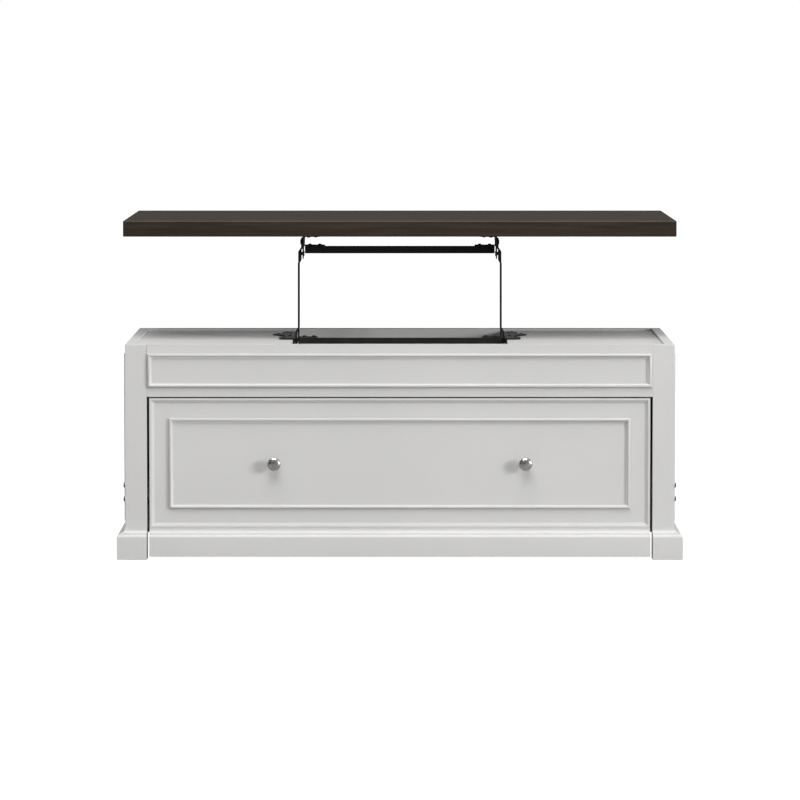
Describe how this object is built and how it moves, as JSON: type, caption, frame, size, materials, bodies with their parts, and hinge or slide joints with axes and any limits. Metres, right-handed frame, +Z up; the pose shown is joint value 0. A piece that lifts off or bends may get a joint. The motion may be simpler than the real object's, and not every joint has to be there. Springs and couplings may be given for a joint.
{
  "type": "lift top coffee table",
  "caption": "Rectangular coffee table whose dark top rises level on a steel parallelogram lift over a storage well, with one wide drawer below in a moulded white cabinet.",
  "frame": {"origin": "Centre of the envelope in plan, at the floor, with the top raised and the drawer shut.", "axes": "+X to the table's right seen from the drawer side, +Y from the drawer side to the back, +Z up."},
  "size_m": [1.278, 0.9134, 0.7563],
  "materials": {
    "painted_wood": "satin white paint",
    "dark_wood": "satin dark stain with fine grain",
    "drawer_wood": "clear lacquer",
    "black_steel": "black powder coat",
    "zinc_steel": "zinc plated",
    "satin_nickel": "satin nickel"
  },
  "bodies": {
    "base": {"apron_moulding": "painted_wood", "back_panel": "painted_wood", "base_bracket_left": "black_steel", "base_bracket_right": "black_steel", "deck_left": "painted_wood", "deck_right": "painted_wood", "divider_left": "painted_wood", "divider_right": "painted_wood", "foot_back_left": "painted_wood", "foot_back_right": "painted_wood", "foot_front_left": "painted_wood", "foot_front_right": "painted_wood", "front_apron": "painted_wood", "lift_spring_left": "zinc_steel", "lift_spring_right": "zinc_steel", "lower_front_pin_left": "black_steel", "lower_front_pin_right": "black_steel", "lower_rear_pin_left": "black_steel", "lower_rear_pin_right": "black_steel", "post_back_left": "painted_wood", "post_back_right": "painted_wood", "post_front_left": "painted_wood", "post_front_right": "painted_wood", "side_moulding_left": "painted_wood", "side_moulding_right": "painted_wood", "side_panel_left": "painted_wood", "side_panel_right": "painted_wood", "side_plinth_left": "painted_wood", "side_plinth_right": "painted_wood", "slide_outer_left": "zinc_steel", "slide_outer_right": "zinc_steel", "slide_rail_left": "painted_wood", "slide_rail_right": "painted_wood", "well_floor": "painted_wood"},
    "rear_arms": {"rear_arm_left": "black_steel", "rear_arm_right": "black_steel"},
    "front_arms": {"front_arm_left": "black_steel", "front_arm_right": "black_steel", "lower_tie_bar": "black_steel"},
    "top": {"top_bracket_left": "black_steel", "top_bracket_right": "black_steel", "top_slab": "dark_wood", "upper_front_pin_left": "black_steel", "upper_front_pin_right": "black_steel", "upper_rear_pin_left": "black_steel", "upper_rear_pin_right": "black_steel", "upper_tie_bar": "black_steel"},
    "drawer": {"drawer_back": "drawer_wood", "drawer_base_strip": "painted_wood", "drawer_bottom": "drawer_wood", "drawer_front": "painted_wood", "drawer_moulding": "painted_wood", "drawer_side_left": "drawer_wood", "drawer_side_right": "drawer_wood", "knob_left": "satin_nickel", "knob_right": "satin_nickel", "slide_inner_left": "zinc_steel", "slide_inner_right": "zinc_steel"},
    "slide_middles": {"slide_middle_left": "zinc_steel", "slide_middle_right": "zinc_steel"}
  },
  "joints": [
    {"name": "lift", "type": "hinge", "parent": "base", "child": "rear_arms", "pos_m": [0, -0.09874, 0.474], "axis": [1, 0, 0], "range_deg": [0, 95]},
    {"name": "front_arms_turn", "type": "hinge", "parent": "base", "child": "front_arms", "pos_m": [0, -0.14474, 0.449], "axis": [1, 0, 0], "range_deg": [0, 95]},
    {"name": "top_stays_level", "type": "hinge", "parent": "rear_arms", "child": "top", "pos_m": [0, -0.08273, 0.70294], "axis": [1, 0, 0], "range_deg": [-95, 0]},
    {"name": "drawer_slide", "type": "slide", "parent": "base", "child": "drawer", "axis": [0, -1, 0], "range_m": [0, 0.36]},
    {"name": "slide_middle_travel", "type": "slide", "parent": "base", "child": "slide_middles", "axis": [0, -1, 0], "range_m": [0, 0.18]}
  ],
  "couplings": [
    {"joint": "front_arms_turn", "follows": "lift", "ratio": 1},
    {"joint": "top_stays_level", "follows": "lift", "ratio": -1},
    {"joint": "slide_middle_travel", "follows": "drawer_slide", "ratio": 0.5}
  ]
}
